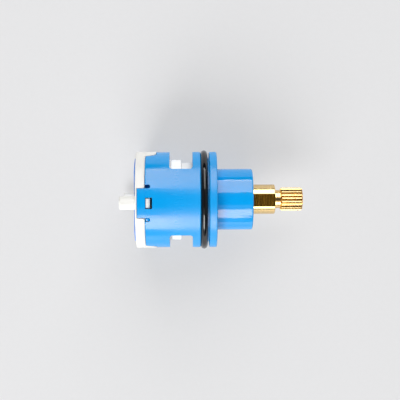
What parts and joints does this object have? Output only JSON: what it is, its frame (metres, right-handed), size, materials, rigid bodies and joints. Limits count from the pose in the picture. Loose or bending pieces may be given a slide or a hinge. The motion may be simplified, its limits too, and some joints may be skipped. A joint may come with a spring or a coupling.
{
  "type": "diverter cartridge",
  "caption": "Ceramic disc diverter cartridge with a snap-in base, side windows, a sealed round body, a plain neck and a splined brass spindle.",
  "frame": {"origin": "centre of the base's seating face, on the spindle axis", "axes": "+X along the spindle axis towards the splined end, +Z through the snap arm beside the large locating pin, +Y through one side window"},
  "size_m": [0.0627, 0.0342, 0.0342],
  "materials": {
    "housing_plastic": "satin moulded blue acetal",
    "base_plastic": "satin moulded white acetal",
    "silicone": "soft blue silicone",
    "alumina": "fine ground white alumina with lapped faces",
    "carrier_plastic": "satin moulded white acetal",
    "spring_steel": "drawn stainless wire and polished balls",
    "brass": "turned and milled brass",
    "black_rubber": "black nitrile rubber with a light film of grease",
    "washer_plastic": "smooth white low-friction plastic"
  },
  "bodies": {
    "body": {"housing": "housing_plastic", "base": "base_plastic", "outlet_seal_1": "silicone", "outlet_seal_2": "silicone", "disc_seal_1": "silicone", "disc_seal_2": "silicone", "fixed_disc": "alumina", "thrust_washer": "washer_plastic", "body_o_ring": "black_rubber"},
    "spindle": {"spindle": "brass", "disc_carrier": "carrier_plastic", "moving_disc": "alumina", "spindle_o_ring_inner": "black_rubber", "spindle_o_ring_outer": "black_rubber", "detent_spring_1": "spring_steel", "detent_spring_2": "spring_steel"},
    "detent_ball_1": {"detent_ball_1": "spring_steel"},
    "detent_ball_2": {"detent_ball_2": "spring_steel"}
  },
  "joints": [
    {"name": "spindle_turn", "type": "hinge", "parent": "body", "child": "spindle", "pos_m": [0, 0, 0], "axis": [1, 0, 0], "range_deg": [0, 180]},
    {"name": "detent_ball_1_slide", "type": "slide", "parent": "spindle", "child": "detent_ball_1", "axis": [0, 0, 1], "range_m": [0, 0.0003]},
    {"name": "detent_ball_2_slide", "type": "slide", "parent": "spindle", "child": "detent_ball_2", "axis": [0, 0, -1], "range_m": [0, 0.0003]}
  ]
}
